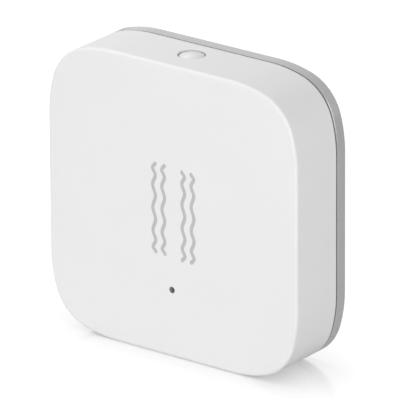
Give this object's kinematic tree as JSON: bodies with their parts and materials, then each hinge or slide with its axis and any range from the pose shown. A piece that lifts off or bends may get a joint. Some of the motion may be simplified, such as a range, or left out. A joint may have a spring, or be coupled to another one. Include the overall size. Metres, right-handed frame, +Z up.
{
  "type": "vibration sensor tag",
  "caption": "Small square vibration sensor tag with soft corners, a push button in its upper side, a pinhole lamp, a pull-off rear cover over a coin cell, and an adhesive back.",
  "frame": {"origin": "middle of the box that holds the tag, on the surface that it stands on", "axes": "+Y from the front face to the adhesive back, +Z up towards the button, +X to the right seen from the front"},
  "size_m": [0.0472, 0.0138, 0.0472],
  "materials": {
    "white_shell": "satin moulded white",
    "grey_shell": "satin moulded grey",
    "foam_tape": "matt foam tape",
    "foam": "soft foam",
    "board_laminate": "solder resist",
    "screw_steel": "plated",
    "black_moulding": "moulded",
    "tinned_metal": "tinned",
    "clear_guide": "smoky clear moulding",
    "lamp_resin": "clear resin",
    "spring_metal": "plated spring strip",
    "cell_steel": "brushed",
    "seal_ring": "matt",
    "chip_resin": "moulded epoxy",
    "ceramic": "fired ceramic",
    "tantalum_block": "moulded block"
  },
  "bodies": {
    "housing": {"front_housing": "white_shell", "circuit_board": "board_laminate", "board_screws": "screw_steel", "switch_body": "black_moulding", "switch_terminals": "tinned_metal", "light_guide": "clear_guide", "indicator_led": "lamp_resin", "battery_holder": "black_moulding", "positive_contact": "spring_metal", "negative_contact": "spring_metal", "cell_can": "cell_steel", "cell_cap": "cell_steel", "cell_gasket": "seal_ring", "radio_chip": "chip_resin", "motion_chip": "chip_resin", "crystal": "tinned_metal", "chip_antenna": "ceramic", "reservoir_capacitor": "tantalum_block", "resistors": "chip_resin", "capacitors": "ceramic"},
    "cover": {"rear_cover": "grey_shell", "foam_pad": "foam", "adhesive_pad": "foam_tape"},
    "button": {"reset_button": "white_shell"},
    "plunger": {"switch_plunger": "black_moulding"}
  },
  "joints": [
    {"name": "cover_pull", "type": "slide", "parent": "housing", "child": "cover", "axis": [0, 1, 0], "range_m": [0, 0.02]},
    {"name": "button_press", "type": "slide", "parent": "housing", "child": "button", "axis": [0, 0, -1], "range_m": [0, 0.0003], "stiffness_N_per_m": 1500},
    {"name": "plunger_press", "type": "slide", "parent": "housing", "child": "plunger", "axis": [0, 0, -1], "range_m": [0, 0.0003]}
  ],
  "couplings": [
    {"joint": "plunger_press", "follows": "button_press", "ratio": 1}
  ]
}
